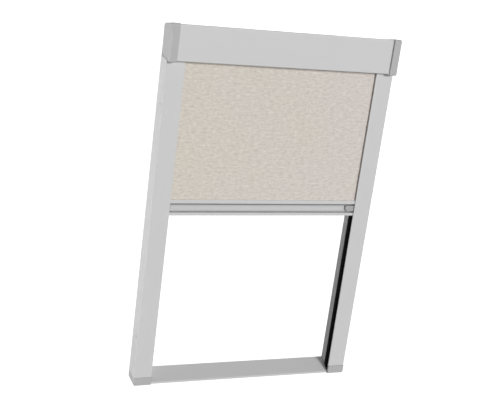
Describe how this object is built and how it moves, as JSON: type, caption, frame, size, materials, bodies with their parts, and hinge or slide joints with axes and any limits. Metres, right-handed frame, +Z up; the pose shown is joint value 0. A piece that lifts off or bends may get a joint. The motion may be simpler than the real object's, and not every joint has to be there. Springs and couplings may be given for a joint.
{
  "type": "roof window roller blind",
  "caption": "Roller blind for a roof window: a cassette with a sprung roller, slotted side rails, a sill rail and a linen cloth drawn by a grip bar.",
  "frame": {"origin": "middle of the width and of the depth, at the underside of the foot caps", "axes": "+X to the right seen from the room, +Y towards the glass, +Z up along the rails to the cassette"},
  "size_m": [0.49, 0.056, 0.7736],
  "materials": {
    "aluminium": "satin silver-grey coating",
    "cap_plastic": "fine moulded grain",
    "glider_plastic": "moulded",
    "pile": "black pile",
    "fabric": "linen weave",
    "steel": "zinc plated",
    "bearing_plastic": "moulded",
    "tube_metal": "mill finish"
  },
  "bodies": {
    "frame": {"cassette_cover": "aluminium", "cassette_back": "aluminium", "left_side_rail": "aluminium", "right_side_rail": "aluminium", "sill_rail": "aluminium", "left_end_cap": "cap_plastic", "right_end_cap": "cap_plastic", "left_foot_cap": "cap_plastic", "right_foot_cap": "cap_plastic", "left_pile_seal": "pile", "right_pile_seal": "pile", "end_cap_screws": "steel", "foot_cap_screws": "steel", "spring_spindle": "steel", "idler_bush": "bearing_plastic", "spring_anchor": "bearing_plastic"},
    "bottom_bar": {"bottom_bar": "aluminium", "left_glider": "glider_plastic", "right_glider": "glider_plastic", "hem_rod": "bearing_plastic", "blind_fabric": "fabric"},
    "roller": {"roller_tube": "tube_metal", "fabric_roll": "fabric", "idler_plug": "bearing_plastic", "drive_plug": "bearing_plastic", "torsion_spring": "steel"}
  },
  "joints": [
    {"name": "blind_pull", "type": "slide", "parent": "frame", "child": "bottom_bar", "axis": [0, 0, -1], "range_m": [-0.2815, 0.3703], "deforming": ["blind_fabric"]},
    {"name": "roller_turn", "type": "hinge", "parent": "frame", "child": "roller", "pos_m": [0, 0.00603, 0.73816], "axis": [1, 0, 0], "range_deg": [-1297.2, 1704.8]}
  ],
  "couplings": [
    {"joint": "roller_turn", "follows": "blind_pull", "rad_per_m": 80.115}
  ]
}
